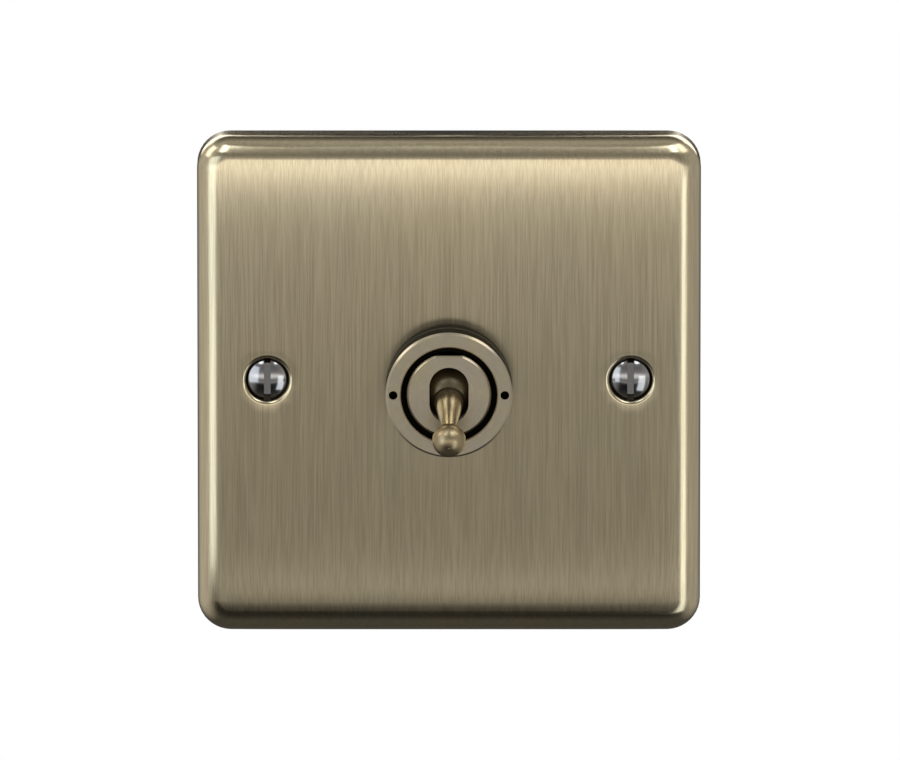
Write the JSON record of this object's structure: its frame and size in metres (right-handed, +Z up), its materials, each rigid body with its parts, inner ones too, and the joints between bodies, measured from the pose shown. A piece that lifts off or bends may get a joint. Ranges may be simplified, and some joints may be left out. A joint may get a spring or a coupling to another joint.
{
  "type": "toggle wall switch",
  "caption": "Toggle wall switch with a brushed antique brass plate, a ball-ended lever in a round ring nut, and a two-way switch mechanism behind.",
  "frame": {"origin": "middle of the plate's rear rim plane, on the lever's centre line; the wall is at y = 0", "axes": "+Z up, +Y into the wall, so the plate faces -Y; +X is to the right as seen from the room"},
  "size_m": [0.0836, 0.0509, 0.0836],
  "materials": {
    "plate_brass": "brushed antique brass under clear lacquer",
    "ring_brass": "turned antique brass, polished sides",
    "bush_brass": "turned antique brass",
    "lever_brass": "satin antique brass",
    "screw_nickel": "polished dark nickel",
    "zinc_steel": "zinc plated steel",
    "spring_steel": "drawn steel wire",
    "terminal_brass": "machined brass",
    "contact_silver": "silver alloy",
    "moulding": "white thermoset moulding",
    "liner_sheet": "black insulating sheet",
    "washer_nylon": "natural nylon"
  },
  "bodies": {
    "switch_frame": {"front_plate": "plate_brass", "insulating_liner": "liner_sheet", "fixing_screws": "screw_nickel", "screw_retaining_washers": "washer_nylon", "ring_nut": "ring_brass", "bush": "bush_brass", "lock_washer": "zinc_steel", "back_nut": "zinc_steel", "pivot_pin": "zinc_steel", "fulcrum_post": "terminal_brass", "contact_strip_upper": "terminal_brass", "contact_strip_lower": "terminal_brass", "fixed_contact_tips": "contact_silver", "terminal_block_common": "terminal_brass", "terminal_block_upper": "terminal_brass", "terminal_block_lower": "terminal_brass", "terminal_screws": "zinc_steel", "switch_cover": "moulding", "switch_body": "moulding", "assembly_rivets": "zinc_steel", "earth_terminal": "terminal_brass", "earth_screw": "zinc_steel"},
    "lever": {"toggle_lever": "lever_brass", "plunger_spring": "spring_steel"},
    "plunger": {"plunger": "washer_nylon"},
    "rocker": {"rocker": "terminal_brass", "moving_contact_tips": "contact_silver"}
  },
  "joints": [
    {"name": "lever_tilt", "type": "hinge", "parent": "switch_frame", "child": "lever", "pos_m": [0, -0.0111, 0], "axis": [-1, 0, 0], "range_deg": [0, 36]},
    {"name": "rocker_tilt", "type": "hinge", "parent": "switch_frame", "child": "rocker", "pos_m": [0, 0.0036, 0], "axis": [1, 0, 0], "range_deg": [0, 18]},
    {"name": "plunger_slide", "type": "slide", "parent": "lever", "child": "plunger", "axis": [0, -0.9511, -0.309], "range_m": [0, 0.001], "stiffness_N_per_m": 400, "springref_m": -0.002, "deforming": ["plunger_spring"]}
  ],
  "couplings": [
    {"joint": "rocker_tilt", "follows": "lever_tilt", "ratio": 0.5}
  ]
}
